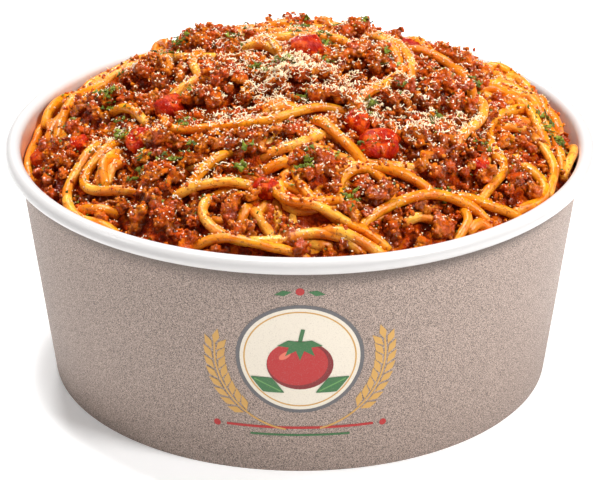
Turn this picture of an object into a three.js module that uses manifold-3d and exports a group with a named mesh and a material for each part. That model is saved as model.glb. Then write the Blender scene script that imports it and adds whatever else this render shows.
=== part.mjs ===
// Spaghetti bolognese heaped in a round paper bowl.
// Millimetres, +Z up. The origin is the centre of the bowl's foot, on the table.
// Pieces: the bowl, one heap of spaghetti, clumps of meat sauce and chunks of diced tomato on it.
import * as THREE from 'three';
import { mergeVertices } from 'three/addons/utils/BufferGeometryUtils.js';
import Module from 'manifold-3d';

const wasm = await Module();
wasm.setup();

// ---- Driving dimensions ----
const RIM_DIAMETER = 150;          // over the rolled rim
const BOWL_HEIGHT = 62;            // table to the top of the rim
const FOOT_DIAMETER = 128;
const RIM_ROLL = 2.05;             // radius of the rolled rim
const WALL_UNDER_RIM = 71.5;       // outer radius of the cone where it meets the roll
const BOARD = 0.6;                 // paper board
const FOOT_HEM = 1.6;              // the folded hem that the bowl stands on
const FOOT_RECESS = 3.5;           // the floor sits this high above the table
const BOWL_SIDES = 60;

const GAP = 0.3;                   // clearance kept between pieces that touch
const HEAP_EDGE = 56;              // height of the bare heap at the wall
const HEAP_TOP = 80;               // height of the bare heap at its middle
const HEAP_SIDES = 30;
const HEAP_RINGS = 4;

const NOODLE = 2.6;                // cooked spaghetti, diameter
const NOODLE_SIDES = 5;
const NOODLE_STEP = 4.2;           // length of one step along a strand
const NOODLE_LIFT = 0.95;          // height of a strand's centre over the heap that it lies on
const END_DIP = 2.2;               // how deep a strand's ends dive into the heap

const SEED = 7;

// ---- Where the strands that show run, plan points in mm, each strand's start to its end ----
const STRANDS = [
  [[-21, -49], [-23, -56], [-17, -63], [-7, -65], [4, -63], [15, -65]],
  [[0, -56], [6, -59], [13, -61], [21, -63]],
  [[14, -60], [23, -53], [32, -48], [40, -48], [47, -50]],
  [[36, -44], [46, -46], [54, -43]],
  [[47, -24], [50, -32], [43, -44]],
  [[54, -23], [60, -31], [57, -39], [51, -43]],
  [[50, -10], [58, -11], [63, -20], [61, -33]],
  [[48, 14], [58, 10], [64, -4], [66, -20]],
  [[49, 34], [58, 28], [64, 15], [67, 4]],
  [[13, -43], [23, -44], [33, -46]],
  [[3, -27], [10, -36], [17, -43]],
  [[-34, -18], [-31, -27], [-20, -30], [-8, -30], [2, -26], [12, -23]],
  [[-27, -46], [-22, -42], [-16, -37]],
  [[-31, -47], [-21, -48], [-11, -48]],
  [[-49, -16], [-54, -25], [-57, -34], [-53, -44], [-43, -52]],
  [[-45, -20], [-52, -29], [-52, -35], [-46, -40], [-39, -42]],
  [[-48, -4], [-43, -10], [-38, -17]],
  [[-68, 12], [-63, 24], [-56, 33], [-47, 41]],
  [[8, 38], [18, 34], [25, 22], [28, 8], [28, -5]],
  [[27, 5], [23, -9], [14, -19]],
];

// Strands on the far side: loops in two staggered rows, each with a drawn bend radius and length.
const FAR_STRANDS = 9;
const FAR_FROM = 20;               // degrees from +X, counter-clockwise
const FAR_TO = 165;
const FAR_ROWS = [57, 34];         // how far out the loops of each row are centred
const FAR_BENDS = [9, 16];
const FAR_LENGTHS = [34, 50];
const FAR_POINTS = 5;

// ---- Clumps of meat sauce: x, y and the clump's radius ----
const CLUMPS = [
  [-34, -47, 11], [-60, -24, 8], [-52, 0, 10], [-37, 7, 11], [-21, -13, 12], [-14, -38, 8],
  [4, -47, 9], [-13, -58, 7], [20, -54, 7], [33, -33, 12], [30, -58, 6], [54, -33, 8],
  [39, -7, 12], [-1, -12, 11], [18, 2, 11], [15, 24, 11], [41, 20, 11], [-5, 40, 11],
  [-25, 30, 11], [-46, 24, 9], [25, 49, 9], [-14, 59, 7], [60, 19, 6],
];
const CLUMP_DETAIL = 2;
const CLUMP_HEIGHT = 4.4;          // rise of a clump's own mass over the heap
const CRAG = [0.8, 1.16];          // how far mince pushes a clump's surface in and out, as a share

// ---- Chunks of diced tomato: x, y, length, width, height and turn in degrees ----
const TOMATOES = [
  [1, 4, 9, 8, 7, 20], [19, -36, 10, 8, 7, -15], [14, -28, 6, 6, 6, 40], [-32, -15, 7, 7, 6, 30],
  [-65, -6, 6, 6, 5, 10], [-55, -14, 5, 5, 5, 50], [-39, -25, 7, 6, 5, -30], [44, -33, 6, 5, 5, 60],
  [53, 36, 5, 5, 5, 15], [-8, -50, 6, 5, 5, -20], [30, 38, 7, 6, 6, 35], [-34, 48, 7, 6, 6, -40],
];
const TOMATO_SINK = 0.35;          // how far a chunk's centre stands over the heap, in half heights

// ---- Materials ----
const finish = (color, roughness) => new THREE.MeshStandardMaterial({ color, roughness, metalness: 0 });
const board = finish(0xb3a49c, 0.8);
const pasta = finish(0xe98a35, 0.35);
const meatSauce = finish(0x7a2410, 0.45);
const tomato = finish(0xcc3311, 0.25);

// ---- Small helpers ----
function seededRandom(seed) {
  let state = seed >>> 0;
  return () => {
    state = (Math.imul(state, 1664525) + 1013904223) >>> 0;
    return state / 4294967296;
  };
}

const random = seededRandom(SEED);
const between = ([low, high]) => low + (high - low) * random();
const radians = THREE.MathUtils.degToRad;

function bareMesh(geometry) {
  const bare = geometry.clone();
  bare.deleteAttribute('normal');
  bare.deleteAttribute('uv');
  return mergeVertices(bare, 1e-4);
}

function toSolid(geometry) {
  const merged = bareMesh(geometry);
  return new wasm.Manifold(new wasm.Mesh({
    numProp: 3,
    vertProperties: new Float32Array(merged.attributes.position.array),
    triVerts: new Uint32Array(merged.index.array),
  }));
}

function toMesh(name, solid, material) {
  const data = solid.getMesh();
  const geometry = new THREE.BufferGeometry();
  geometry.setAttribute('position', new THREE.BufferAttribute(data.vertProperties, 3));
  geometry.setIndex(new THREE.BufferAttribute(data.triVerts, 1));
  geometry.computeVertexNormals();
  const mesh = new THREE.Mesh(geometry, material);
  mesh.name = name;
  return mesh;
}

const join = (solids) => solids.reduce((whole, solid) => whole.add(solid));
const largest = (solid) => solid.decompose().sort((a, b) => b.volume() - a.volume())[0];
const corner = (radius, height) => new THREE.Vector2(radius, height);

// A closed profile of radius and height, turned about +Z.
function turned(profile, sides) {
  return new THREE.LatheGeometry(profile, sides).rotateX(Math.PI / 2);
}

// ---- The bowl: a cone of board with a recessed floor, a folded foot hem and a rolled rim ----
const wallSlope = (WALL_UNDER_RIM - FOOT_DIAMETER / 2) / (BOWL_HEIGHT - 2 * RIM_ROLL);
const outerWall = (height) => FOOT_DIAMETER / 2 + wallSlope * height;
const innerWall = (height) => outerWall(height) - BOARD;

function bowlProfile() {
  const footRadius = FOOT_DIAMETER / 2;
  const floorTop = FOOT_RECESS + BOARD;
  const rollRadius = RIM_DIAMETER / 2 - RIM_ROLL;
  const rollHeight = BOWL_HEIGHT - RIM_ROLL;
  const profile = [
    corner(0, FOOT_RECESS),
    corner(footRadius - FOOT_HEM, FOOT_RECESS),
    corner(footRadius - FOOT_HEM, 0),
    corner(footRadius, 0),
  ];
  const rollSteps = 8;
  for (let step = 0; step <= rollSteps; step++) {
    const angle = radians(-130 + (310 * step) / rollSteps);
    profile.push(corner(rollRadius + RIM_ROLL * Math.cos(angle), rollHeight + RIM_ROLL * Math.sin(angle)));
  }
  profile.push(corner(innerWall(floorTop), floorTop), corner(0, floorTop));
  return profile;
}

// ---- The bare heap: it fills the bowl and domes over the rim ----
const heapRadius = innerWall(HEAP_EDGE) - GAP;
const heapHeight = (x, y) =>
  HEAP_EDGE + (HEAP_TOP - HEAP_EDGE) * (1 - (x * x + y * y) / (heapRadius * heapRadius));

function heapProfile(growth) {
  const floor = FOOT_RECESS + BOARD + GAP;
  const profile = [corner(0, floor), corner(innerWall(floor) - GAP, floor)];
  for (let ring = HEAP_RINGS; ring >= 0; ring--) {
    const radius = (heapRadius * ring) / HEAP_RINGS;
    profile.push(corner(radius, heapHeight(radius, 0) + growth));
  }
  return profile;
}

// ---- Strands: each lies on the heap, and over the strands that were laid before it ----
const noodleSection = new THREE.Shape(Array.from({ length: NOODLE_SIDES }, (_, side) => {
  const angle = (2 * Math.PI * side) / NOODLE_SIDES;
  return corner((NOODLE / 2) * Math.cos(angle), (NOODLE / 2) * Math.sin(angle));
}));
const laidPoints = [];

function liftOver(x, y) {
  let height = heapHeight(x, y) + NOODLE_LIFT;
  for (const laid of laidPoints) {
    const away = Math.hypot(laid.x - x, laid.y - y) / NOODLE;
    if (away < 1) height = Math.max(height, laid.z + NOODLE * 0.85 * Math.sqrt(1 - away * away));
  }
  return height;
}

function strand(plan) {
  const route = new THREE.CatmullRomCurve3(plan.map(([x, y]) => new THREE.Vector3(x, y, 0)));
  const steps = Math.max(4, Math.round(route.getLength() / NOODLE_STEP));
  const points = route.getSpacedPoints(steps);
  const heights = points.map(({ x, y }) => liftOver(x, y));
  points.forEach((point, index) => {
    const before = heights[Math.max(index - 1, 0)];
    const after = heights[Math.min(index + 1, steps)];
    const dip = index === 0 || index === steps ? END_DIP : 0;
    point.z = Math.max(heights[index], (before + after) / 2) - dip;
  });
  laidPoints.push(...points);
  const extrudePath = new THREE.CatmullRomCurve3(points);
  return toSolid(new THREE.ExtrudeGeometry(noodleSection, { steps, extrudePath, bevelEnabled: false }));
}

function farStrand(index) {
  const spread = (FAR_TO - FAR_FROM) / (FAR_STRANDS - 1);
  const angle = radians(FAR_FROM + spread * index);
  const reach = FAR_ROWS[index % FAR_ROWS.length];
  const bend = between(FAR_BENDS);
  const turn = between(FAR_LENGTHS) / bend;
  const start = random() * 2 * Math.PI;
  const plan = [];
  for (let step = 0; step <= FAR_POINTS; step++) {
    const around = start + (turn * step) / FAR_POINTS;
    const x = reach * Math.cos(angle) + bend * Math.cos(around);
    const y = reach * Math.sin(angle) + bend * Math.sin(around);
    const inside = Math.min(1, (heapRadius - NOODLE) / Math.hypot(x, y));
    plan.push([x * inside, y * inside]);
  }
  return strand(plan);
}

// ---- Toppings: each stands square to the heap's slope, with its growth for the cutter ----
function placed(geometry, x, y, lift, turn) {
  const slope = (2 * (HEAP_TOP - HEAP_EDGE)) / (heapRadius * heapRadius);
  const normal = new THREE.Vector3(x * slope, y * slope, 1).normalize();
  const tilt = new THREE.Quaternion().setFromUnitVectors(new THREE.Vector3(0, 0, 1), normal);
  geometry.rotateZ(radians(turn));
  geometry.applyQuaternion(tilt);
  geometry.translate(x, y, heapHeight(x, y));
  geometry.translate(normal.x * lift, normal.y * lift, normal.z * lift);
  return toSolid(geometry);
}

// A block with rounded edges: the sphere's points pushed out towards a box.
function roundedChunk(length, width, height, growth) {
  const squareness = 4;
  const geometry = new THREE.IcosahedronGeometry(1, 1);
  const points = geometry.attributes.position;
  for (let index = 0; index < points.count; index++) {
    const [x, y, z] = [points.getX(index), points.getY(index), points.getZ(index)];
    const reach = (Math.abs(x) ** squareness + Math.abs(y) ** squareness + Math.abs(z) ** squareness);
    points.setXYZ(index, ...[x, y, z].map((value) => value / reach ** (1 / squareness)));
  }
  return geometry.scale(length / 2 + growth, width / 2 + growth, height / 2 + growth);
}

function tomatoChunk([x, y, length, width, height, turn], growth) {
  return placed(roundedChunk(length, width, height, growth), x, y, (TOMATO_SINK * height) / 2, turn);
}

// A clump is a squashed ball whose points the mince pushes in and out. The pushes are drawn once,
// so that the clump and its cutter are alike.
function planClump([x, y, radius]) {
  const ball = bareMesh(new THREE.IcosahedronGeometry(1, CLUMP_DETAIL));
  const points = ball.attributes.position;
  for (let index = 0; index < points.count; index++) {
    const push = between(CRAG);
    points.setXYZ(index, points.getX(index) * push, points.getY(index) * push, points.getZ(index) * push);
  }
  return { ball, x, y, radius, turn: 360 * random() };
}

function clump({ ball, x, y, radius, turn }, growth) {
  const mass = ball.clone().scale(radius + growth, radius * 0.85 + growth, CLUMP_HEIGHT + growth);
  return placed(mass, x, y, 0, turn);
}

// ---- Assembly ----
const bowl = toSolid(turned(bowlProfile(), BOWL_SIDES));
const bareHeap = toSolid(turned(heapProfile(0), HEAP_SIDES));
const heapCutter = toSolid(turned(heapProfile(GAP), HEAP_SIDES));
const wallLimit = toSolid(turned([
  corner(0, 0), corner(innerWall(0) - GAP, 0),
  corner(innerWall(BOWL_HEIGHT) - GAP, BOWL_HEIGHT), corner(innerWall(BOWL_HEIGHT) - GAP, 2 * BOWL_HEIGHT),
  corner(0, 2 * BOWL_HEIGHT),
], BOWL_SIDES));

const cutters = [];
function fitted(shape, cutter) {
  const near = cutters.filter((other) => !other.intersect(cutter).isEmpty());
  const clear = near.reduce((left, other) => left.subtract(other), shape.subtract(heapCutter));
  cutters.push(cutter);
  return largest(clear.intersect(wallLimit));
}

const chunks = TOMATOES.map((size) => fitted(tomatoChunk(size, 0), tomatoChunk(size, 1.4 * GAP)));
const clumps = CLUMPS.map(planClump).map((plan) => fitted(clump(plan, 0), clump(plan, 1.4 * GAP)));

const nearStrands = STRANDS.map(strand);
const farStrands = Array.from({ length: FAR_STRANDS }, (_, index) => farStrand(index));
const allStrands = join([...nearStrands, ...farStrands]);
const strands = cutters.reduce((left, cutter) => left.subtract(cutter), allStrands);
const heap = largest(bareHeap.add(strands.intersect(wallLimit)));

const group = new THREE.Group();
group.add(toMesh('bowl', bowl, board));
group.add(toMesh('spaghetti', heap, pasta));
clumps.forEach((solid, index) => group.add(toMesh(`meat_sauce_${index + 1}`, solid, meatSauce)));
chunks.forEach((solid, index) => group.add(toMesh(`tomato_${index + 1}`, solid, tomato)));

export default group;
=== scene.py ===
import math
import random

import bmesh
import bpy
import numpy as np
from mathutils import Matrix, Vector, kdtree, noise


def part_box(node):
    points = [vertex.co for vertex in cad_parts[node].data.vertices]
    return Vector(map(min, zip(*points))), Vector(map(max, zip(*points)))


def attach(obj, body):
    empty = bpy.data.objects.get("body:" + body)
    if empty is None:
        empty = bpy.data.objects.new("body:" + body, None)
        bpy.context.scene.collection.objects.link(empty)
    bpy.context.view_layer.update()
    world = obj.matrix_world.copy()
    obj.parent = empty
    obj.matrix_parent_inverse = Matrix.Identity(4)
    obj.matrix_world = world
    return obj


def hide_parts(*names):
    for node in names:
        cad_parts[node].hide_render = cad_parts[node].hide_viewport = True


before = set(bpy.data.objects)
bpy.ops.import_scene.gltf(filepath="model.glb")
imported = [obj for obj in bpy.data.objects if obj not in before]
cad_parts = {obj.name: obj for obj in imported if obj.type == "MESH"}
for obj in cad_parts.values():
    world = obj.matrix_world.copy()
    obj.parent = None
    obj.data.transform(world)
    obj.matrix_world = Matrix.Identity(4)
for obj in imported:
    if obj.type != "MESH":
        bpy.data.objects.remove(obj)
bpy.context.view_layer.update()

bl_info = {
    "name": "Spaghetti Bolognese Bowl",
    "version": (1, 0, 0),
    "blender": (4, 5, 0),
    "location": "3D View > Sidebar > Bolognese",
    "description": "A paper bowl of spaghetti bolognese: board, strands, mince, tomato and toppings",
    "category": "Object",
}

MM = 0.001
BODY = "root"
NODES = list(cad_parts)
SAUCE_NODES = [name for name in NODES if name.startswith("meat_sauce")]
TOMATO_NODES = [name for name in NODES if name.startswith("tomato")]

# ---- The bowl, in millimetres ----
RIM_TOP = round(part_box("bowl")[1][2] / MM, 1)
RIM_RADIUS = 75.0
RIM_ROLL = 2.05            # radius of the rolled rim's section
WALL_UNDER_RIM = 71.5      # the wall's outer radius where it enters the roll
FOOT_RADIUS = 64.0
FOOT_RECESS = 3.5          # height of the floor's underside
FOOT_HEM = 1.6             # thickness of the folded hem that the bowl stands on
HEM_ROUND = 0.15
BOARD = 0.6                # thickness of the board
BOWL_STEPS = 192           # facets round the bowl
WALL_STEPS = 14            # and up the wall
SEAM_STAND = 0.45          # how far the glued overlap stands out from the wall
CUT_EDGE = 0.6             # width of its slanting cut edge
WALL_SLOPE = (WALL_UNDER_RIM - FOOT_RADIUS) / (RIM_TOP - 2 * RIM_ROLL)
ROLL_HEIGHT = RIM_TOP - RIM_ROLL
WALL_TOP = (WALL_UNDER_RIM, ROLL_HEIGHT - 0.72 * RIM_ROLL)
FLOOR_TOP = FOOT_RECESS + BOARD

# ---- The heap: the bare dome that everything lies on, in millimetres ----
HEAP_EDGE = 56.0
HEAP_TOP = 80.0
HEAP_RADIUS = FOOT_RADIUS + WALL_SLOPE * HEAP_EDGE - BOARD - 0.3
LOW_SIDE = Vector((-0.90, 0.44))   # the heap lies lower against the wall on this side
LOW_EDGE = 4.5             # by this much
SAUCE_DEPTH = 4.0          # the sauce bed lies this far under the bare dome
SAUCE_FILM = 2.6           # and fills gaps up to this far under the finished pile
STRAND_LEVEL = 3.2         # the strands that show run this far above the bare dome
STRAND_MOST = 7.0          # and no higher than this where they cross
BACK_STARTS = 32.0         # strands beyond this are seen from behind the bowl
WALL_GAP = 0.1             # what strands and sauce keep clear of the wall
NO_LIMIT = 99.0

# Plan routes of the strands that show, in whole mm from the bowl's axis.
STRANDS = [
    [(-21, -49), (-23, -56), (-17, -63), (-7, -65), (4, -63), (15, -65)],
    [(0, -56), (6, -59), (13, -61), (21, -63)],
    [(14, -60), (23, -53), (32, -48), (40, -48), (47, -50)],
    [(36, -44), (46, -46), (54, -43)],
    [(47, -24), (50, -32), (43, -44)],
    [(54, -23), (60, -31), (57, -39), (51, -43)],
    [(50, -10), (58, -11), (63, -20), (61, -33)],
    [(48, 14), (58, 10), (64, -4), (66, -20)],
    [(49, 34), (58, 28), (64, 15), (67, 4)],
    [(13, -43), (23, -44), (33, -46)],
    [(3, -27), (10, -36), (17, -43)],
    [(-34, -18), (-31, -27), (-20, -30), (-8, -30), (2, -26), (12, -23)],
    [(-27, -46), (-22, -42), (-16, -37)],
    [(-31, -47), (-21, -48), (-11, -48)],
    [(-49, -16), (-54, -25), (-57, -34), (-53, -44), (-43, -52)],
    [(-45, -20), (-52, -29), (-52, -35), (-46, -40), (-39, -42)],
    [(-48, -4), (-43, -10), (-38, -17)],
    [(-68, 12), (-63, 24), (-56, 33), (-47, 41)],
    [(8, 38), (18, 34), (25, 22), (28, 8), (28, -5)],
    [(27, 5), (23, -9), (14, -19)],
    [(39, -48), (40, -53), (36, -59)],
    [(-10, -40), (-1, -39), (5, -33)],
    [(-54, -38), (-50, -43), (-43, -46)],
    [(-25, 18), (-27, 10), (-27, 3), (-24, -6)],
    [(24, -56), (28, -55), (33, -53)],
    [(40, -55), (43, -52), (47, -51)],
    [(-9, -44), (-3, -44), (2, -43)],
    [(-12, -53), (-13, -56), (-15, -59)],
    [(-11, -54), (-10, -58), (-6, -63)],
    [(-44, -24), (-47, -28), (-50, -34)],
    [(-43, -29), (-46, -32), (-47, -36)],
    [(-34, -11), (-28, -8), (-21, -5)],
    [(-65, 4), (-62, 11), (-56, 17), (-50, 20)],
    [(-15, 15), (-10, 11), (-4, 7)],
    [(-9, -24), (-3, -25), (1, -23)],
    [(66, -18), (69, -8), (70, 2)],
    [(-27, -62), (-19, -64), (-10, -67), (2, -67)],
    [(4, -62), (12, -64), (20, -65)],
    [(-12, 37), (-5, 34), (1, 28), (6, 20)],
    [(-14, 16), (-10, 13), (-4, 6)],
    [(-49, 32), (-44, 36), (-36, 37)],
    [(-50, 24), (-45, 28), (-39, 27)],
    [(14, 29), (21, 24), (24, 14), (26, 5)],
    [(44, 6), (50, 9), (56, 6), (60, -3), (62, -14)],
    [(45, 0), (46, -9), (44, -17), (38, -27)],
    [(50, 38), (57, 31), (61, 18), (63, 4)],
    [(-69, -12), (-70, 0), (-69, 12), (-66, 22)],
    [(-64, 9), (-65, 20), (-60, 26), (-53, 19)],
    [(-10, -23), (-4, -23), (1, -24)],
    [(-44, -27), (-48, -31), (-47, -37)],
    [(-62, 0), (-60, 13), (-53, 22), (-44, 27), (-36, 27)],
    [(-57, 27), (-49, 33), (-39, 38), (-29, 39)],
    [(27, 26), (36, 19), (42, 9), (44, -2)],
    [(-16, 31), (-9, 27), (-1, 24), (7, 22)],
]

# Mounds of mince: x, y and radius in mm. The first ones stand where the solids have clumps.
CLUMPS = [
    (-34, -47, 11), (-60, -24, 8), (-52, 0, 10), (-37, 7, 11), (-21, -13, 12), (-14, -38, 8),
    (4, -47, 9), (-13, -58, 7), (20, -54, 7), (33, -33, 12), (30, -58, 6), (54, -33, 8),
    (39, -7, 12), (-1, -12, 11), (18, 2, 11), (15, 24, 11), (41, 20, 11), (-5, 40, 11),
    (-25, 30, 11), (-46, 24, 9), (25, 49, 9), (-14, 59, 7), (60, 19, 6),
]

MORE_CLUMPS = [
    (-50, -46, 8), (-63, -12, 7), (-58, 16, 8), (-24, -33, 6), (-4, -33, 6), (12, -60, 6), (44, -50, 5),
    (58, -12, 6), (50, 4, 8), (-35, -32, 7), (9, -24, 8), (26, -14, 8), (47, -38, 5), (-10, 22, 9),
    (0, 60, 8), (42, 42, 8), (-38, 44, 8), (-60, 34, 5), (64, -2, 5), (-23, -64, 5), (0, -66, 5),
]
NUGGET_SHAPES = 18
MOUND_FOOT = 3.4           # how far nuggets may rise over the bare dome at a mound's edge
GRAINS_PER_MM = 1.05       # grains of mince along a mm
GRAIN_REACH = 0.75         # share of that spacing at which a grain ends
GRAIN_RELIEF = 0.7         # how far grains stand out, in mm
SLOW_RELIEF = 0.3          # and how far the skin wanders under them
# The lift values also set painted shade: the mince finish darkens low points and grain hollows by them.
LIFT_RANGE = 2.4           # mm over which a point of the skin counts from sunk to raised
LIFT_LEVEL = 0.42          # how raised it counts at the pile's smoothed top
LIFT_GRAIN = 0.35          # and how much more on top of a grain
LOOSE_LIFT = 0.8           # how raised loose things count

# Diced tomato: x, y, length, width, height in mm and turn in degrees.
TOMATOES = [
    (1, 4, 9, 9, 9, 20), (19, -36, 10, 8, 7, -15), (14, -28, 6, 6, 6, 40), (-32, -15, 7, 7, 6, 30),
    (-65, -6, 6, 6, 5, 10), (-55, -14, 5, 5, 5, 50), (-39, -25, 7, 6, 5, -30), (44, -33, 6, 5, 5, 60),
    (53, 36, 5, 5, 5, 15), (-8, -50, 6, 5, 5, -20), (30, 38, 7, 6, 6, 35), (-34, 48, 7, 6, 6, -40),
]

TOMATO_STAND = 0.24        # share of a chunk's height by which its middle lies over the dome
TOMATO_BACK = 20.0         # chunks further back than this lie 1 mm deeper

# ---- Camera: degrees over the horizon, mm from the rim's middle, aim height in mm, lens in mm ----
CAMERA_ELEVATION = 23.3
CAMERA_DISTANCE = 750.0
CAMERA_AIM_HEIGHT = 32.1
CAMERA_LENS = 176.6


def wall_radius(height):
    """Outer radius of the cone wall at a height."""
    return FOOT_RADIUS + WALL_SLOPE * height


def inside_wall(x, y, height, margin):
    """The plan point drawn in so that it keeps a margin to the wall's inner face at that height."""
    reach = wall_radius(height) - BOARD - margin
    share = min(reach / max(math.hypot(x, y), reach), 1)
    return x * share, y * share


def heap_height(x, y):
    """Height of the bare dome, for numbers or arrays."""
    share = (x * x + y * y) / HEAP_RADIUS ** 2
    toward = np.maximum(x * LOW_SIDE.x + y * LOW_SIDE.y, 0) / HEAP_RADIUS
    return HEAP_EDGE + (HEAP_TOP - HEAP_EDGE) * (1 - share) - LOW_EDGE * toward * share ** 1.5


def heap_normal(x, y):
    """Upward normal of the bare dome."""
    slope = 2 * (HEAP_TOP - HEAP_EDGE) / HEAP_RADIUS ** 2
    return Vector((x * slope, y * slope, 1)).normalized()


# ---------------------------------------------------------------- the pile

class Pile:
    """The top of what already lies in the bowl: heights in mm on a square grid."""

    CELL = 0.4
    HALF = 73.0
    SIGHT = 10.0               # how far before a strand a thing can stand and still hide it

    def __init__(self):
        side = int(2 * self.HALF / self.CELL) + 1
        axis = np.linspace(-self.HALF, self.HALF, side)
        self.x, self.y = np.meshgrid(axis, axis, indexing="ij")
        self.top = heap_height(self.x, self.y) - SAUCE_DEPTH
        self.over = self.top   # the top with the strands that lie over the mince
        self.strands = np.empty((0, 3))
        self.sights = np.empty((0, 3))

    def window(self, x, y, radius):
        """The square of cells round a point."""
        low_x = max(int((x - radius + self.HALF) / self.CELL), 0)
        low_y = max(int((y - radius + self.HALF) / self.CELL), 0)
        high_x = int((x + radius + self.HALF) / self.CELL) + 2
        high_y = int((y + radius + self.HALF) / self.CELL) + 2
        return slice(low_x, high_x), slice(low_y, high_y)

    def cap(self, x, y, radius):
        """The cells under a ball of that radius and how far the ball bulges over each."""
        part = self.window(x, y, radius)
        away = ((self.x[part] - x) ** 2 + (self.y[part] - y) ** 2) / radius ** 2
        return part, np.sqrt(np.clip(1 - away, 0, 1)), away < 1

    def rest(self, x, y, radius, height=None):
        """Centre height at which a ball, or a ball squashed to height, touches the pile."""
        part, bulge, inside = self.cap(x, y, radius)
        if not inside.any():
            return float(self.top[part].max())
        return float((self.top[part] + bulge * (height or radius))[inside].max())

    def press(self, x, y, z, radius, height=None):
        """Adds a ball at that height to the pile."""
        part, bulge, inside = self.cap(x, y, radius)
        raised = np.where(inside, z + bulge * (height or radius), -1e3)
        self.top[part] = np.maximum(self.top[part], raised)

    def level(self, reach):
        """The pile's top smoothed over a reach in mm."""
        half = int(reach / self.CELL / 2)
        width = 2 * half + 1
        smooth = self.top
        for axis in (0, 1, 0, 1):
            edges = [(half, half) if side == axis else (0, 0) for side in (0, 1)]
            padded = np.pad(smooth, edges, mode="edge")
            sums = np.cumsum(padded, axis=axis)
            count = sums.shape[axis]
            late = np.take(sums, range(width - 1, count), axis=axis)
            early = np.take(sums, range(0, count - width + 1), axis=axis)
            first = np.take(padded, range(0, count - width + 1), axis=axis)
            smooth = (late - early + first) / width
        return smooth

    def cell(self, x, y):
        """The grid cell at a point."""
        return int(round((x + self.HALF) / self.CELL)), int(round((y + self.HALF) / self.CELL))

    def keep_clear(self, points):
        """Remembers strands that are to stay in sight, from the front or, at the back, from behind."""
        tilt = math.radians(CAMERA_ELEVATION)
        side = np.where(points[:, 1] < BACK_STARTS, -1, 1)
        onlooker = np.zeros((len(points), 3))
        onlooker[:, 1] = side * CAMERA_DISTANCE * math.cos(tilt)
        onlooker[:, 2] = RIM_TOP + CAMERA_DISTANCE * math.sin(tilt)
        sights = onlooker - points
        self.strands = points
        self.sights = sights / np.linalg.norm(sights, axis=1, keepdims=True)

    def hides_strand(self, place, reach):
        """Whether a ball at a place would stand before a strand."""
        away = np.array(place) - self.strands
        ahead = (away * self.sights).sum(axis=1)
        aside = (away ** 2).sum(axis=1) - ahead ** 2
        return bool(((ahead > 0) & (ahead < self.SIGHT) & (aside < reach ** 2)).any())


pile = Pile()


# ---------------------------------------------------------------- geometry helpers

def linked(name, data):
    """An object in the scene with that mesh, curve, lamp or camera."""
    holder = bpy.data.objects.new(name, data)
    bpy.context.scene.collection.objects.link(holder)
    return holder


def evaluated_mesh(holder):
    """The mesh of an object after its modifiers; the object is removed."""
    mesh = bpy.data.meshes.new_from_object(holder.evaluated_get(bpy.context.evaluated_depsgraph_get()))
    bpy.data.objects.remove(holder)
    return mesh


def add_piece(name, mesh, materials, replaced):
    """A finished piece: its object at the origin, riding on the one body."""
    piece = linked(name, mesh)
    for material in materials:
        mesh.materials.append(material)
    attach(piece, BODY)
    if replaced:
        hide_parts(*replaced)
    return piece


def mesh_from(shape, name, smooth=True):
    """Turns a bmesh in mm into a mesh in metres and frees it."""
    bmesh.ops.scale(shape, verts=shape.verts, vec=(MM, MM, MM))
    mesh = bpy.data.meshes.new(name)
    shape.to_mesh(mesh)
    shape.free()
    if smooth:
        mesh.shade_smooth()
    return mesh


def spun(profile, steps):
    """A surface of revolution about Z from (radius, height) points."""
    shape = bmesh.new()
    verts = [shape.verts.new((radius, 0, height)) for radius, height in profile]
    edges = [shape.edges.new(pair) for pair in zip(verts, verts[1:])]
    bmesh.ops.spin(shape, geom=verts + edges, cent=(0, 0, 0), axis=(0, 0, 1),
                   angle=2 * math.pi, steps=steps, use_merge=True)
    bmesh.ops.remove_doubles(shape, verts=shape.verts, dist=1e-4)
    bmesh.ops.recalc_face_normals(shape, faces=shape.faces)
    return shape


def arc(centre_radius, centre_height, radius, start, end, steps):
    """Profile points on an arc, angles in degrees."""
    angles = (math.radians(start + (end - start) * step / steps) for step in range(steps + 1))
    return [(centre_radius + radius * math.cos(angle), centre_height + radius * math.sin(angle))
            for angle in angles]


def route_through(points, spacing, parts=24):
    """Evenly spaced points on a smooth curve through the given plan points."""
    padded = [2 * Vector(points[0]) - Vector(points[1])] + [Vector(p) for p in points]
    padded.append(2 * Vector(points[-1]) - Vector(points[-2]))
    fine = []
    for a, b, c, d in zip(padded, padded[1:], padded[2:], padded[3:]):
        for step in range(parts):
            t = step / parts
            fine.append(0.5 * (2 * b + (c - a) * t + (2 * a - 5 * b + 4 * c - d) * t ** 2
                               + (3 * b - 3 * c + d - a) * t ** 3))
    fine.append(padded[-2])
    route, walked = [fine[0]], 0.0
    for before, after in zip(fine, fine[1:]):
        walked += (after - before).length
        if walked >= spacing:
            route.append(after)
            walked = 0.0
    return route


def smoothed(values, half):
    """A running mean over half samples to each side."""
    width = 2 * half + 1
    return np.convolve(np.pad(values, half, mode="edge"), np.ones(width) / width, mode="valid")


END_SAMPLES = 7            # points over which a strand's end dives in
SLACK = 0.5                # how much deeper than smooth a strand may sag, in mm


def lay_strand(plan, radius, sink, dip, level=-NO_LIMIT, most=NO_LIMIT):
    """Heights for a strand that drapes over the pile, its ends diving in; the pile rises under it."""
    rest = np.array([pile.rest(x, y, radius) for x, y in plan])
    height = np.maximum(rest - sink - SLACK, smoothed(rest, 4) - sink)
    bare = np.array([heap_height(x, y) for x, y in plan])
    height = smoothed(np.clip(height, bare + level, bare + most), 3)
    last = len(plan) - 1
    for index in range(last + 1):
        from_end = min(index, last - index) / END_SAMPLES
        if from_end < 1:
            height[index] -= dip * (1 - from_end) ** 2
    margin = radius + WALL_GAP
    route = [Vector((*inside_wall(x, y, z, margin), z)) for (x, y), z in zip(plan, height)]
    for x, y, z in route:
        pile.press(x, y, z, radius)
    return route


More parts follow.
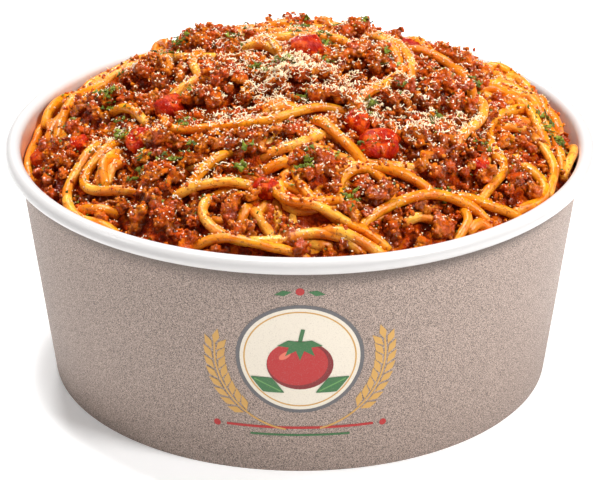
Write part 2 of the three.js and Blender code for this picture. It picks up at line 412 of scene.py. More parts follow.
def strewn_point(rng, limit=HEAP_RADIUS - 2):
    """A plan point anywhere on the heap, all places being equally likely."""
    away, angle = limit * math.sqrt(rng.random()), rng.uniform(0, 2 * math.pi)
    return away * math.cos(angle), away * math.sin(angle)


def scattered(rng, count):
    """Plan points spread evenly over the heap."""
    return [strewn_point(rng) for _ in range(count)]


BEND_RADII = (9, 34)       # a wandering strand's tightest and widest bend, in mm
STRAND_LENGTHS = (45, 105)
NEW_BEND = 0.015           # chance at each point that it starts another bend
EDGE_SHARE = 0.25          # share of strands that turn only close to the wall


def wandering_plan(rng, spacing, edge_bend=9.0, inner_bend=6.5):
    """A plan route that bends slowly and, near the wall, turns along it with one of the two radii."""
    limit = HEAP_RADIUS - 2.5
    at_edge = rng.random() < EDGE_SHARE
    margin, turn_back = (7, edge_bend) if at_edge else (12, inner_bend)
    point = Vector(strewn_point(rng, limit))
    heading = rng.uniform(0, 2 * math.pi)
    bend = rng.choice((-1, 1)) / rng.uniform(*BEND_RADII)
    route = []
    for _ in range(int(rng.uniform(*STRAND_LENGTHS) / spacing)):
        route.append(point.copy())
        if rng.random() < NEW_BEND:
            bend = rng.choice((-1, 1)) / rng.uniform(*BEND_RADII)
        heading += bend * spacing
        step = Vector((math.cos(heading), math.sin(heading)))
        outward = point.normalized()
        if point.length > limit - margin and step.dot(outward) > (0 if at_edge else -0.5):
            bend = (1 if outward.cross(step) >= 0 else -1) / turn_back
        point += step * spacing
        if point.length > limit:
            point *= limit / point.length
    return route


def strands_mesh(name, routes, radius, rng, resolution):
    """Tubes along the routes as one mesh, with a random tint kept for each strand."""
    curve = bpy.data.curves.new(name, "CURVE")
    curve.dimensions = "3D"
    curve.bevel_depth = radius * MM
    curve.bevel_resolution = resolution
    curve.use_fill_caps = True
    for route in routes:
        spline = curve.splines.new("POLY")
        spline.points.add(len(route) - 1)
        thickness = rng.uniform(0.9, 1.06)
        for index, (point, place) in enumerate(zip(spline.points, route)):
            point.co = (*(place * MM), 1)
            ripple = noise.noise(place * 0.2) * 0.05
            taper = min(1.0, 0.86 + 0.07 * min(index, len(route) - 1 - index))
            point.radius = (thickness + ripple) * taper
    holder = linked(name, curve)
    mesh = evaluated_mesh(holder)
    bpy.data.curves.remove(curve)
    sides = 4 + 2 * resolution
    tints = np.concatenate([np.full(len(route) * sides, rng.random()) for route in routes])
    shape = bmesh.new()
    shape.from_mesh(mesh)
    layer = shape.verts.layers.float.new("tint")
    for vert, tint in zip(shape.verts, tints):
        vert[layer] = tint
    bmesh.ops.remove_doubles(shape, verts=shape.verts, dist=1e-7)
    shape.to_mesh(mesh)
    shape.free()
    mesh.name = name
    mesh.shade_smooth()
    return mesh


def lumpy_ball(seed, detail, roughness):
    """A ball of unit radius pushed in and out by noise."""
    shape = bmesh.new()
    bmesh.ops.create_icosphere(shape, subdivisions=detail, radius=1)
    offset = Vector((seed * 7.3, seed * 3.1, seed * 1.7))
    for vert in shape.verts:
        coarse = noise.noise(vert.co * 1.3 + offset)
        fine = noise.noise(vert.co * 3.1 + offset)
        vert.co *= 1 + roughness * (coarse + 0.5 * fine)
    return shape


def template(shape):
    """Point and triangle arrays of a bmesh, which is freed."""
    bmesh.ops.triangulate(shape, faces=shape.faces)
    shape.verts.index_update()
    points = np.array([vert.co[:] for vert in shape.verts])
    triangles = np.array([[vert.index for vert in face.verts] for face in shape.faces])
    shape.free()
    return points, triangles


def joined_copies(name, shapes, places):
    """One mesh of many small things: each place starts with template index, matrix in mm and tint."""
    points, faces, tints, base = [], [], [], 0
    for index, matrix, tint, *_ in places:
        local, triangles = shapes[index]
        rows = np.array(matrix)
        points.append(local @ rows[:3, :3].T + rows[:3, 3])
        faces.append(triangles + base)
        tints.append(np.full(len(local), tint))
        base += len(local)
    points, faces = np.concatenate(points) * MM, np.concatenate(faces)
    mesh = bpy.data.meshes.new(name)
    mesh.from_pydata(points, [], faces)
    lifts = np.full(len(points), LOOSE_LIFT)
    for field, values in (("tint", np.concatenate(tints)), ("lift", lifts)):
        mesh.attributes.new(field, "FLOAT", "POINT").data.foreach_set("value", values)
    mesh.shade_smooth()
    return mesh


def fused(name, mesh, voxel):
    """One skin round a heap of overlapping solids; voxel in mm."""
    holder = linked(name, mesh)
    remesh = holder.modifiers.new("fuse", "REMESH")
    remesh.mode = "VOXEL"
    remesh.voxel_size = voxel * MM
    skin = evaluated_mesh(holder)
    bpy.data.meshes.remove(mesh)
    skin.name = name
    return skin


def turned_matrix(place, size, rng, normal=None, tilt=math.pi):
    """A matrix that puts a unit thing at a place, at a size, with a random turn and tilt."""
    turn = Matrix.Rotation(rng.uniform(0, 2 * math.pi), 4, "Z")
    lean = Matrix.Rotation(rng.uniform(-tilt, tilt), 4, "X")
    lean = lean @ Matrix.Rotation(rng.uniform(-tilt, tilt), 4, "Y")
    square = (normal or Vector((0, 0, 1))).to_track_quat("Z", "Y").to_matrix().to_4x4()
    return Matrix.Translation(place) @ square @ lean @ turn @ Matrix.Diagonal((*size, 1))


# ---------------------------------------------------------------- material helpers

def new_group(name, inputs, outputs):
    """A shader node group with the named sockets; returns its tree, input node and output node."""
    tree = bpy.data.node_groups.new(name, "ShaderNodeTree")
    for socket, kind, value in inputs:
        made = tree.interface.new_socket(socket, in_out="INPUT", socket_type=kind)
        made.default_value = value
    for socket, kind in outputs:
        tree.interface.new_socket(socket, in_out="OUTPUT", socket_type=kind)
    return tree, tree.nodes.new("NodeGroupInput"), tree.nodes.new("NodeGroupOutput")


def noise_node(tree, vector, scale, detail=3.0, roughness=0.55):
    """A noise texture on the given coordinates, scale in lumps per metre."""
    node = tree.nodes.new("ShaderNodeTexNoise")
    tree.links.new(vector, node.inputs["Vector"])
    if isinstance(scale, (int, float)):
        node.inputs["Scale"].default_value = scale
    else:
        tree.links.new(scale, node.inputs["Scale"])
    node.inputs["Detail"].default_value = detail
    node.inputs["Roughness"].default_value = roughness
    return node.outputs["Fac"]


def math_node(tree, operation, first, second=0.0, clamp=False):
    """A math node on sockets or plain numbers."""
    node = tree.nodes.new("ShaderNodeMath")
    node.operation = operation
    node.use_clamp = clamp
    for socket, value in zip(node.inputs, (first, second)):
        if isinstance(value, (int, float)):
            socket.default_value = value
        else:
            tree.links.new(value, socket)
    return node.outputs[0]


def blend(tree, first, share, second, other_share):
    """The sum of two sockets, each times its share."""
    return math_node(tree, "ADD", math_node(tree, "MULTIPLY", first, share),
                     math_node(tree, "MULTIPLY", second, other_share))


def ramp_node(tree, factor, stops):
    """A colour ramp with (position, colour) stops."""
    node = tree.nodes.new("ShaderNodeValToRGB")
    elements = node.color_ramp.elements
    while len(elements) < len(stops):
        elements.new(0.5)
    for element, (position, colour) in zip(elements, stops):
        element.position = position
        element.color = (*colour, 1)
    tree.links.new(factor, node.inputs["Fac"])
    return node.outputs["Color"]


def mix_node(tree, factor, first, second):
    """Blends two colours."""
    node = tree.nodes.new("ShaderNodeMix")
    node.data_type = "RGBA"
    for name, value in (("Factor", factor), ("A", first), ("B", second)):
        socket = next(s for s in node.inputs if s.name == name and s.enabled)
        if isinstance(value, bpy.types.NodeSocket):
            tree.links.new(value, socket)
        else:
            socket.default_value = (*value, 1)
    return next(s for s in node.outputs if s.enabled)


def mask_node(tree, value, low, high):
    """0 below low, 1 above high, smooth between."""
    node = tree.nodes.new("ShaderNodeMapRange")
    node.interpolation_type = "SMOOTHSTEP"
    tree.links.new(value, node.inputs["Value"])
    node.inputs["From Min"].default_value = low
    node.inputs["From Max"].default_value = high
    return node.outputs["Result"]


def object_coordinates(tree):
    """The place on the piece, in metres."""
    return tree.nodes.new("ShaderNodeTexCoord").outputs["Object"]


def attribute(tree, name, output="Fac"):
    """A field that the mesh keeps for each point."""
    node = tree.nodes.new("ShaderNodeAttribute")
    node.attribute_name = name
    return node.outputs[output]


def paint(tree, shader, colour):
    """Gives the shader its colour."""
    tree.links.new(colour, shader.inputs["Base Color"])


def relief(tree, shader, height, strength, distance):
    """Bump from a height socket, on the shader's normal."""
    bump = tree.nodes.new("ShaderNodeBump")
    bump.inputs["Strength"].default_value = strength
    bump.inputs["Distance"].default_value = distance
    tree.links.new(height, bump.inputs["Height"])
    tree.links.new(bump.outputs["Normal"], shader.inputs["Normal"])


def new_material(name, **values):
    """A material with one Principled shader; values set its own sockets."""
    material = bpy.data.materials.new(name)
    material.use_nodes = True
    tree = material.node_tree
    shader = tree.nodes["Principled BSDF"]
    for socket, value in values.items():
        shader.inputs[socket.replace("_", " ")].default_value = value
    return material, tree, shader


def wet_mottle_group():
    """Patches and fine grain that cooked, sauced food shows: a mask of each and a height."""
    if "wet_mottle" in bpy.data.node_groups:
        return bpy.data.node_groups["wet_mottle"]
    tree, given, made = new_group(
        "wet_mottle",
        [("Patch Scale", "NodeSocketFloat", 150.0), ("Grain Scale", "NodeSocketFloat", 1500.0)],
        [("Patches", "NodeSocketFloat"), ("Grain", "NodeSocketFloat"), ("Height", "NodeSocketFloat")],
    )
    place = object_coordinates(tree)
    patches = mask_node(tree, noise_node(tree, place, given.outputs["Patch Scale"]), 0.38, 0.66)
    grain = noise_node(tree, place, given.outputs["Grain Scale"], 4.0, 0.6)
    height = math_node(tree, "ADD", math_node(tree, "MULTIPLY", patches, 0.3), grain)
    tree.links.new(patches, made.inputs["Patches"])
    tree.links.new(grain, made.inputs["Grain"])
    tree.links.new(height, made.inputs["Height"])
    return tree


def wet_mottle(tree, patch_scale, grain_scale):
    """The outputs of the mottle at the given scales, in marks per metre."""
    node = tree.nodes.new("ShaderNodeGroup")
    node.node_tree = wet_mottle_group()
    node.inputs["Patch Scale"].default_value = patch_scale
    node.inputs["Grain Scale"].default_value = grain_scale
    return node.outputs


def shades(colour, *shares):
    """Darker and paler kinds of a colour."""
    return [tuple(channel * share for channel in colour) for share in shares]


def parted(tree, vector):
    """The X, Y and Z outputs of a vector."""
    split = tree.nodes.new("ShaderNodeSeparateXYZ")
    tree.links.new(vector, split.inputs[0])
    return split.outputs


def paper_board(settings):
    """Recycled board printed grey: a speckle of light and dark fibres, and painted shade that darkens
    the wall towards the rim.
    """
    material, tree, shader = new_material("paper_board", Roughness=0.58)
    place = object_coordinates(tree)
    fine = noise_node(tree, place, 4600.0, 1.0, 0.6)
    coarse = noise_node(tree, place, 2200.0, 1.0, 0.5)
    speckle = blend(tree, fine, 0.85, coarse, 0.15)
    dark, usual, pale = shades(settings.board_colour, 0.34, 1.0, 1.72)
    board = ramp_node(tree, speckle, [(0.38, dark), (0.5, usual), (0.62, pale)])
    height = parted(tree, place)["Z"]
    # Painted shade under the rim: from 10 mm below the rim top upward, the printed wall's colour turns
    # towards the dark speckle.
    painted_rim_shade = mask_node(tree, height, (RIM_TOP - 10) * MM, (RIM_TOP - 4.5) * MM)
    paint(tree, shader, mix_node(tree, math_node(tree, "MULTIPLY", painted_rim_shade, 0.85), board, dark))
    relief(tree, shader, speckle, 0.25, 0.0002)
    return material


def coated_board(settings):
    """White coated board of the rim and the inside, stained by the sauce near the food."""
    material, tree, shader = new_material("coated_board", Roughness=0.32, Coat_Weight=0.2)
    place = object_coordinates(tree)
    side = parted(tree, place)
    drift = math_node(tree, "MULTIPLY", noise_node(tree, place, 90.0, 4.0), 0.010)
    depth = math_node(tree, "SUBTRACT", side["Z"], drift)
    wet = mask_node(tree, depth, (RIM_TOP - 5.2) * MM, (RIM_TOP - 11) * MM)
    squared = math_node(tree, "ADD", math_node(tree, "POWER", side["X"], 2),
                        math_node(tree, "POWER", side["Y"], 2))
    inner = WALL_UNDER_RIM - BOARD
    inside = mask_node(tree, squared, ((inner + 0.7) * MM) ** 2, (inner * MM) ** 2)
    stain = math_node(tree, "MULTIPLY", math_node(tree, "MULTIPLY", wet, inside), 0.7)
    colour = mix_node(tree, stain, settings.coating_colour, settings.stain_colour)
    paint(tree, shader, colour)
    relief(tree, shader, noise_node(tree, place, 1200.0), 0.05, 0.0001)
    return material


def cut_board(settings):
    """The bare edge where the board was cut: the board's own colour, a little paler."""
    material, tree, shader = new_material("cut_board", Roughness=0.75)
    dark, pale = shades(settings.board_colour, 1.0, 1.7)
    fibres = noise_node(tree, object_coordinates(tree), 2200.0, 1.0, 0.5)
    paint(tree, shader, ramp_node(tree, fibres, [(0.35, dark), (0.65, pale)]))
    return material


def cooked_pasta(settings):
    """Strands dyed by oily sauce: golden, with redder patches, flecks and a wet gloss."""
    material, tree, shader = new_material(
        "cooked_pasta", Roughness=0.22, Specular_IOR_Level=0.42, Subsurface_Weight=0.08,
        Subsurface_Scale=0.0025, Subsurface_Radius=(1.0, 0.5, 0.1))
    marks = wet_mottle(tree, 230.0, 1200.0)
    golden = ramp_node(tree, attribute(tree, "tint"), [
        (0.0, settings.deep_colour), (0.45, settings.strand_colour), (1.0, settings.pale_colour)])
    sauced = mix_node(tree, math_node(tree, "MULTIPLY", marks["Patches"], 0.8),
                      golden, settings.sauced_colour)
    flecks = mask_node(tree, noise_node(tree, object_coordinates(tree), 1250.0, 2.0), 0.58, 0.65)
    colour = mix_node(tree, math_node(tree, "MULTIPLY", flecks, 0.65), sauced, settings.fleck_colour)
    paint(tree, shader, colour)
    relief(tree, shader, marks["Height"], 0.4, 0.0005)
    return material


def grains_group():
    """Cells of mince: a random number for each grain and its rounded height."""
    if "mince_grains" in bpy.data.node_groups:
        return bpy.data.node_groups["mince_grains"]
    tree, given, made = new_group(
        "mince_grains", [("Scale", "NodeSocketFloat", 900.0)],
        [("Grain", "NodeSocketFloat"), ("Height", "NodeSocketFloat")])
    cells = tree.nodes.new("ShaderNodeTexVoronoi")
    cells.inputs["Randomness"].default_value = 1.0
    tree.links.new(object_coordinates(tree), cells.inputs["Vector"])
    tree.links.new(given.outputs["Scale"], cells.inputs["Scale"])
    split = tree.nodes.new("ShaderNodeSeparateColor")
    tree.links.new(cells.outputs["Color"], split.inputs[0])
    tree.links.new(split.outputs[0], made.inputs["Grain"])
    squared = math_node(tree, "MULTIPLY", cells.outputs["Distance"], cells.outputs["Distance"])
    tree.links.new(math_node(tree, "SUBTRACT", 1.0, squared), made.inputs["Height"])
    return tree


def cooked_mince(settings):
    """Fried mince soaked in tomato sauce: brown grains, red sauce patches and a wet gloss; sunk parts
    and the hollows between grains turn to the deep sauce colour, partly as sauce and partly as painted
    shade.
    """
    material, tree, shader = new_material(
        "cooked_mince", Roughness=0.08, Specular_IOR_Level=0.48, Subsurface_Weight=0.05,
        Subsurface_Scale=0.002, Subsurface_Radius=(1.0, 0.25, 0.1))
    marks = wet_mottle(tree, 210.0, 1300.0)
    cells = tree.nodes.new("ShaderNodeGroup")
    cells.node_tree = grains_group()
    cells.inputs["Scale"].default_value = 640.0
    shade = blend(tree, attribute(tree, "tint"), 0.55, cells.outputs["Grain"], 0.45)
    meat = ramp_node(tree, shade, [
        (0.15, settings.dark_colour), (0.5, settings.meat_colour), (0.85, settings.light_colour)])
    sauced = mix_node(tree, math_node(tree, "MULTIPLY", marks["Patches"], 0.78),
                      meat, settings.sauce_colour)
    # Partly sauce, partly painted shade: points that lift marks as sunk or between grains darken to the
    # deep sauce colour.
    gap_sauce_and_painted_shade = math_node(tree, "SUBTRACT", 1.0, mask_node(tree, attribute(tree, "lift"), 0.05, 0.78))
    colour = mix_node(tree, math_node(tree, "MULTIPLY", gap_sauce_and_painted_shade, 0.85), sauced, settings.deep_sauce_and_shade_colour)
    paint(tree, shader, colour)
    height = math_node(tree, "ADD", cells.outputs["Height"],
                       math_node(tree, "MULTIPLY", marks["Grain"], 0.05))
    relief(tree, shader, height, 1.0, 0.0007)
    return material


def tomato_sauce(settings):
    """The sauce bed between the strands: red, glossy and grainy, with paler pulp."""
    material, tree, shader = new_material("tomato_sauce", Roughness=0.1, Specular_IOR_Level=0.3)
    marks = wet_mottle(tree, 330.0, 800.0)
    shade = blend(tree, marks["Patches"], 0.45, marks["Grain"], 0.55)
    paint(tree, shader, ramp_node(tree, shade, [
        (0.2, settings.deep_sauce_and_shade_colour), (0.4, settings.film_colour), (0.62, settings.sauce_colour),
        (0.8, settings.pulp_colour)]))
    relief(tree, shader, marks["Height"], 1.0, 0.0016)
    return material


def tomato_flesh(settings):
    """Cooked diced tomato: translucent red with paler streaks."""
    material, tree, shader = new_material(
        "tomato_flesh", Roughness=0.12, Specular_IOR_Level=0.16, Subsurface_Weight=0.05,
        Subsurface_Scale=0.003, Subsurface_Radius=(1.0, 0.15, 0.05))
    marks = wet_mottle(tree, 420.0, 700.0)
    shade = blend(tree, marks["Patches"], 0.55, marks["Grain"], 0.45)
    paint(tree, shader, ramp_node(tree, shade, [
        (0.15, settings.skin_colour), (0.45, settings.flesh_colour), (0.85, settings.streak_colour)]))
    relief(tree, shader, marks["Height"], 0.9, 0.0008)
    return material


def tinted(name, low, high, roughness, grain):
    """A plain food finish whose colour runs from low to high with each piece's tint."""
    material, tree, shader = new_material(name, Roughness=roughness, Specular_IOR_Level=0.2)
    marks = wet_mottle(tree, 500.0, grain)
    spread = blend(tree, attribute(tree, "tint"), 0.8, marks["Grain"], 0.3)
    paint(tree, shader, ramp_node(tree, spread, [(0.1, low), (0.9, high)]))
    relief(tree, shader, marks["Height"], 0.3, 0.0003)
    return material


# ---------------------------------------------------------------- settings

def colour_property(name, description, default):
    """A colour setting."""
    return bpy.props.FloatVectorProperty(
        name=name, description=description, subtype="COLOR", size=3, min=0, max=1, default=default)


class BowlSettings(bpy.types.PropertyGroup):
    """The bowl's colours and its seam"""
    board_colour: colour_property("Board", "Colour of the printed board", (0.318, 0.239, 0.200))
    coating_colour: colour_property("Coating", "Colour of the rim and the inside", (0.64, 0.62, 0.61))
    stain_colour: colour_property("Stain", "Colour of the coating by the sauce", (0.78, 0.33, 0.14))
    seam_width: bpy.props.FloatProperty(
        name="Seam width", description="Width of the glued overlap in mm", default=8.0, min=2, max=15)


class PastaSettings(bpy.types.PropertyGroup):
    """The strands"""
    diameter: bpy.props.FloatProperty(
        name="Strand diameter", description="Cooked spaghetti in mm", default=2.6, min=1.5, max=4)
    loose_strands: bpy.props.IntProperty(
        name="Loose strands", description="Strands that fill the heap under the ones on top",
        default=95, min=0, max=160)
    back_strands: bpy.props.IntProperty(
        name="Back strands", description="Strands strewn over the far side of the heap",
        default=40, min=0, max=120)
    strand_colour: colour_property("Strand", "Usual colour of a strand", (0.87, 0.325, 0.008))
    pale_colour: colour_property("Pale strand", "Colour of the palest strand", (0.93, 0.455, 0.055))
    deep_colour: colour_property("Deep strand", "Colour of the deepest strand", (0.82, 0.24, 0.006))
    sauced_colour: colour_property("Sauced patch", "Colour where sauce clings", (0.76, 0.145, 0.001))
    fleck_colour: colour_property("Fleck", "Colour of herb and spice flecks", (0.36, 0.075, 0.005))


class SauceSettings(bpy.types.PropertyGroup):
    """The mince and the sauce"""
    nugget_density: bpy.props.FloatProperty(
        name="Nugget density", description="Nuggets of mince for each square cm of a mound",
        default=60, min=5)
    mound_height: bpy.props.FloatProperty(
        name="Mound height", description="How far a mound rises at its middle in mm",
        default=5.4, min=0, max=8)
    fill_tries: bpy.props.IntProperty(
        name="Fill", description="Small nuggets tried in the hollows", default=9000, min=0)
    mince_detail: bpy.props.FloatProperty(
        name="Mince detail", description="Grid of the fused skin in mm", default=0.42, min=0.3, max=1)
    fine_crumbs: bpy.props.IntProperty(
        name="Fine crumbs", description="Small crumbs over the whole heap", default=4200, min=0)
    meat_colour: colour_property("Meat", "Usual colour of the mince", (0.46, 0.086, 0.002))
    dark_colour: colour_property("Dark meat", "Colour of the darkest mince", (0.21, 0.033, 0.001))
    light_colour: colour_property("Light meat", "Colour of the lightest mince", (0.80, 0.24, 0.010))
    sauce_colour: colour_property("Sauce", "Colour of the tomato sauce", (0.57, 0.056, 0.002))
    # In the mince this colour is partly sauce and partly painted shade in sunk parts and between grains;
    # in the sauce bed it is the darkest tone.
    deep_sauce_and_shade_colour: colour_property("Deep sauce", "Colour of the gaps in the mince", (0.15, 0.014, 0.001))
    film_colour: colour_property("Sauce bed", "Usual colour of the sauce bed", (0.30, 0.020, 0.001))
    pulp_colour: colour_property("Pulp", "Palest colour of the sauce bed", (0.66, 0.135, 0.003))


class ToppingSettings(bpy.types.PropertyGroup):
    """Tomato, parsley and cheese"""
    flesh_colour: colour_property("Tomato", "Colour of the diced tomato", (0.50, 0.020, 0.001))
    skin_colour: colour_property("Tomato skin", "Its darkest red", (0.33, 0.006, 0.001))
    streak_colour: colour_property("Tomato streak", "Colour of its paler streaks", (0.76, 0.105, 0.003))
    leaf_low: colour_property("Dark leaf", "Darkest parsley", (0.040, 0.056, 0.004))
    leaf_high: colour_property("Light leaf", "Lightest parsley", (0.23, 0.26, 0.018))
    cheese_low: colour_property("Dark cheese", "Cheese soaked by sauce", (0.95, 0.70, 0.38))
    cheese_high: colour_property("Light cheese", "Dry grated cheese", (1.0, 0.90, 0.68))
    bunches: bpy.props.IntProperty(name="Bunches", description="Bunches of parsley", default=34, min=0)
    flecks: bpy.props.IntProperty(name="Flecks", description="Flecks of parsley", default=700, min=0)
    shreds: bpy.props.IntProperty(name="Shreds", description="Shreds of cheese", default=3000, min=0)
    # These grains are partly cheese and partly painted glints.
    dust_and_glint_specks: bpy.props.IntProperty(name="Dust", description="Grains of cheese", default=9800, min=0)


class StageSettings(bpy.types.PropertyGroup):
    """The floor and the lamps"""
    floor_colour: colour_property("Floor", "Colour of the floor", (0.93, 0.93, 0.93))
    key_power: bpy.props.FloatProperty(
        name="Key light", description="Power of the lamp overhead", subtype="POWER", default=9)
    front_power: bpy.props.FloatProperty(
        name="Front light", description="Power of the lamp at the front", subtype="POWER", default=13)
    back_power: bpy.props.FloatProperty(
        name="Back light", description="Power of the lamp behind the bowl", subtype="POWER", default=5.0)
    side_power: bpy.props.FloatProperty(
        name="Side light", description="Power of the lamp at the left", subtype="POWER", default=2.0)
    right_power: bpy.props.FloatProperty(
        name="Right light", description="Power of the lamp at the right", subtype="POWER", default=3.0)
    floor_glow: bpy.props.FloatProperty(
        name="Floor glow", description="Light that the floor itself gives", default=0.26, min=0)
    sky: bpy.props.FloatProperty(
        name="Sky", description="Strength of the even light from all round", default=0.035, min=0)


# ---------------------------------------------------------------- operators

class BOLOGNESE_OT_bowl(bpy.types.Operator):
    """Make the paper bowl: cone wall, floor, foot hem, rolled rim and glued seam"""
    bl_idname = "bolognese.bowl"
    bl_label = "Paper Bowl"

    def execute(self, context):
        settings = context.scene.bolognese_bowl
        board = paper_board(settings)
        mesh = mesh_from(spun(self.outside(), BOWL_STEPS), "bowl_board")
        lining = mesh_from(spun(self.inside(), BOWL_STEPS), "board_inside")
        whole = bmesh.new()
        whole.from_mesh(mesh)
        outside_faces = len(whole.faces)
        whole.from_mesh(lining)
        bpy.data.meshes.remove(lining)
        whole.faces.ensure_lookup_table()
        for face in whole.faces[outside_faces:]:
            face.material_index = 1
        bmesh.ops.remove_doubles(whole, verts=whole.verts, dist=2e-6)
        bmesh.ops.recalc_face_normals(whole, faces=whole.faces)
        whole.to_mesh(mesh)
        whole.free()
        mesh.shade_smooth()
        add_piece("bowl_board", mesh, [board, coated_board(settings)], ["bowl"])
        self.add_seam(settings, board)
        return {"FINISHED"}

    def outside(self):
        """Profile of the printed side: floor, foot hem and wall."""
        hem = FOOT_RADIUS - FOOT_HEM
        heights = [WALL_TOP[1] * step / WALL_STEPS for step in range(1, WALL_STEPS + 1)]
        return [
            (0, FOOT_RECESS), (hem - 1.2, FOOT_RECESS), (hem, FOOT_RECESS - 0.8), (hem, HEM_ROUND),
            (hem + HEM_ROUND, 0), (FOOT_RADIUS - HEM_ROUND, 0), (FOOT_RADIUS, HEM_ROUND),
            *((wall_radius(height), height) for height in heights),
        ]

    def inside(self):
        """Profile of the coated side: the rolled rim, the wall's inner face and the floor."""
        profile = [WALL_TOP]
        profile += arc(RIM_RADIUS - RIM_ROLL, ROLL_HEIGHT, RIM_ROLL, -138, 180, 22)
        for step in range(1, WALL_STEPS):
            height = ROLL_HEIGHT + (FLOOR_TOP - ROLL_HEIGHT) * step / WALL_STEPS
            profile.append((wall_radius(height) - BOARD, height))
        corner = wall_radius(FLOOR_TOP) - BOARD - 0.8
        return [*profile, (corner, FLOOR_TOP), (0, FLOOR_TOP)]

    def add_seam(self, settings, board):
        """The overlap of the wall's ends, at the back of the bowl."""
        low, high = 0.2, RIM_TOP - 2 * RIM_ROLL + 0.2
        shape = bmesh.new()
        corners = [(-0.1, low), (SEAM_STAND, low), (SEAM_STAND, high), (-0.1, high)]
        half = settings.seam_width / 2 / FOOT_RADIUS
        turn = Matrix.Rotation(-half, 3, "Z")
        verts = [shape.verts.new(turn @ Vector((0, wall_radius(z) + out, z))) for out, z in corners]
        start = shape.faces.new(verts)
        bmesh.ops.spin(shape, geom=[start], cent=(0, 0, 0), axis=(0, 0, 1), angle=2 * half, steps=8)
        bmesh.ops.remove_doubles(shape, verts=shape.verts, dist=1e-4)
        bmesh.ops.recalc_face_normals(shape, faces=shape.faces)
        for face in shape.faces:
            outward = Vector((*face.calc_center_median().xy, 0)).normalized()
            face.material_index = 0 if abs(face.normal.dot(outward)) > 0.5 else 1
        for vert in shape.verts:
            proud = vert.co.xy.length > wall_radius(vert.co.z) + SEAM_STAND / 2
            angle = math.atan2(vert.co.x, vert.co.y)
            if proud and abs(angle) > half - 1e-3:
                lean = math.copysign(CUT_EDGE / FOOT_RADIUS, angle)
                vert.co = Matrix.Rotation(lean, 3, "Z") @ vert.co
        mesh = mesh_from(shape, "wall_seam", smooth=False)
        add_piece("wall_seam", mesh, [board, cut_board(settings)], ["bowl"])


INKS = {
    "cream": (0.78, 0.70, 0.58), "red": (0.45, 0.016, 0.016), "deep": (0.20, 0.008, 0.010),
    "light": (0.74, 0.16, 0.10), "green": (0.035, 0.15, 0.045), "leaf": (0.13, 0.32, 0.09),
    "ochre": (0.60, 0.33, 0.08), "grey": (0.12, 0.115, 0.12),
}
BADGE_HEIGHT = 33.0        # its middle above the foot
BADGE_SCALE = 1.2
PRINT_LIFT = 0.04          # how far the lowest ink lies off the board, in mm
LAYER_LIFT = 0.02          # and each layer off the one below


class Sheet:
    """Flat printed shapes in mm: across, up, and a layer that keeps one above another."""

    def __init__(self):
        self.shape = bmesh.new()
        self.ink = self.shape.verts.layers.float_color.new("ink")

    def ink_in(self, verts, ink, layer):
        """Gives points their ink and their layer."""
        for vert in verts:
            vert[self.ink] = (*INKS[ink], 1)
            vert.co.z = layer

    def put(self, verts, x, y, size, turn):
        """Sizes, turns and moves a shape of unit size."""
        matrix = (Matrix.Translation((x, y, 0)) @ Matrix.Rotation(math.radians(turn), 4, "Z")
                  @ Matrix.Diagonal((*size, 1, 1)))
        bmesh.ops.transform(self.shape, matrix=matrix, verts=verts)

    def disc(self, x, y, size, ink, layer, turn=0.0, point=0.0):
        """An ellipse of size (length, width); point draws its ends out to tips."""
        verts = bmesh.ops.create_circle(self.shape, cap_ends=True, segments=40, radius=0.5)["verts"]
        for vert in verts:
            vert.co.y *= 1 - point * abs(2 * vert.co.x)
        self.put(verts, x, y, size, turn)
        self.ink_in(verts, ink, layer)

    def bar(self, x, y, length, width, ink, layer, turn=0.0):
        """A straight stroke."""
        verts = bmesh.ops.create_grid(self.shape, x_segments=1, y_segments=1, size=0.5)["verts"]
        self.put(verts, x, y, (length, width), turn)
        self.ink_in(verts, ink, layer)

    def arc(self, radius, width, start, end, ink, layer):
        """A stroke round the middle, angles in degrees."""
        known = set(self.shape.verts)
        turn = Matrix.Rotation(math.radians(start), 3, "Z")
        ends = [self.shape.verts.new(turn @ Vector((radius + side * width / 2, 0, 0)))
                for side in (-1, 1)]
        edge = self.shape.edges.new(ends)
        bmesh.ops.spin(self.shape, geom=[*ends, edge], cent=(0, 0, 0), axis=(0, 0, 1),
                       angle=math.radians(end - start), steps=int(abs(end - start) / 5),
                       use_merge=abs(end - start) >= 360)
        self.ink_in([vert for vert in self.shape.verts if vert not in known], ink, layer)

    def wrapped(self, name):
        """The shapes cut into strips and laid round the wall."""
        shape = self.shape
        bmesh.ops.scale(shape, verts=shape.verts, vec=(BADGE_SCALE, BADGE_SCALE, 1))
        for cut in range(-28, 30, 2):
            bmesh.ops.bisect_plane(shape, geom=[*shape.verts, *shape.edges, *shape.faces], dist=1e-5,
                                   plane_co=(cut, 0, 0), plane_no=(1, 0, 0))
        shape.normal_update()
        bmesh.ops.reverse_faces(shape, faces=[face for face in shape.faces if face.normal.z < 0])
        for vert in shape.verts:
            across, up, layer = vert.co
            up += BADGE_HEIGHT
            radius = wall_radius(up) + PRINT_LIFT + LAYER_LIFT * layer
            angle = across / wall_radius(BADGE_HEIGHT)
            vert.co = (radius * math.sin(angle), -radius * math.cos(angle), up)
        return mesh_from(shape, name)


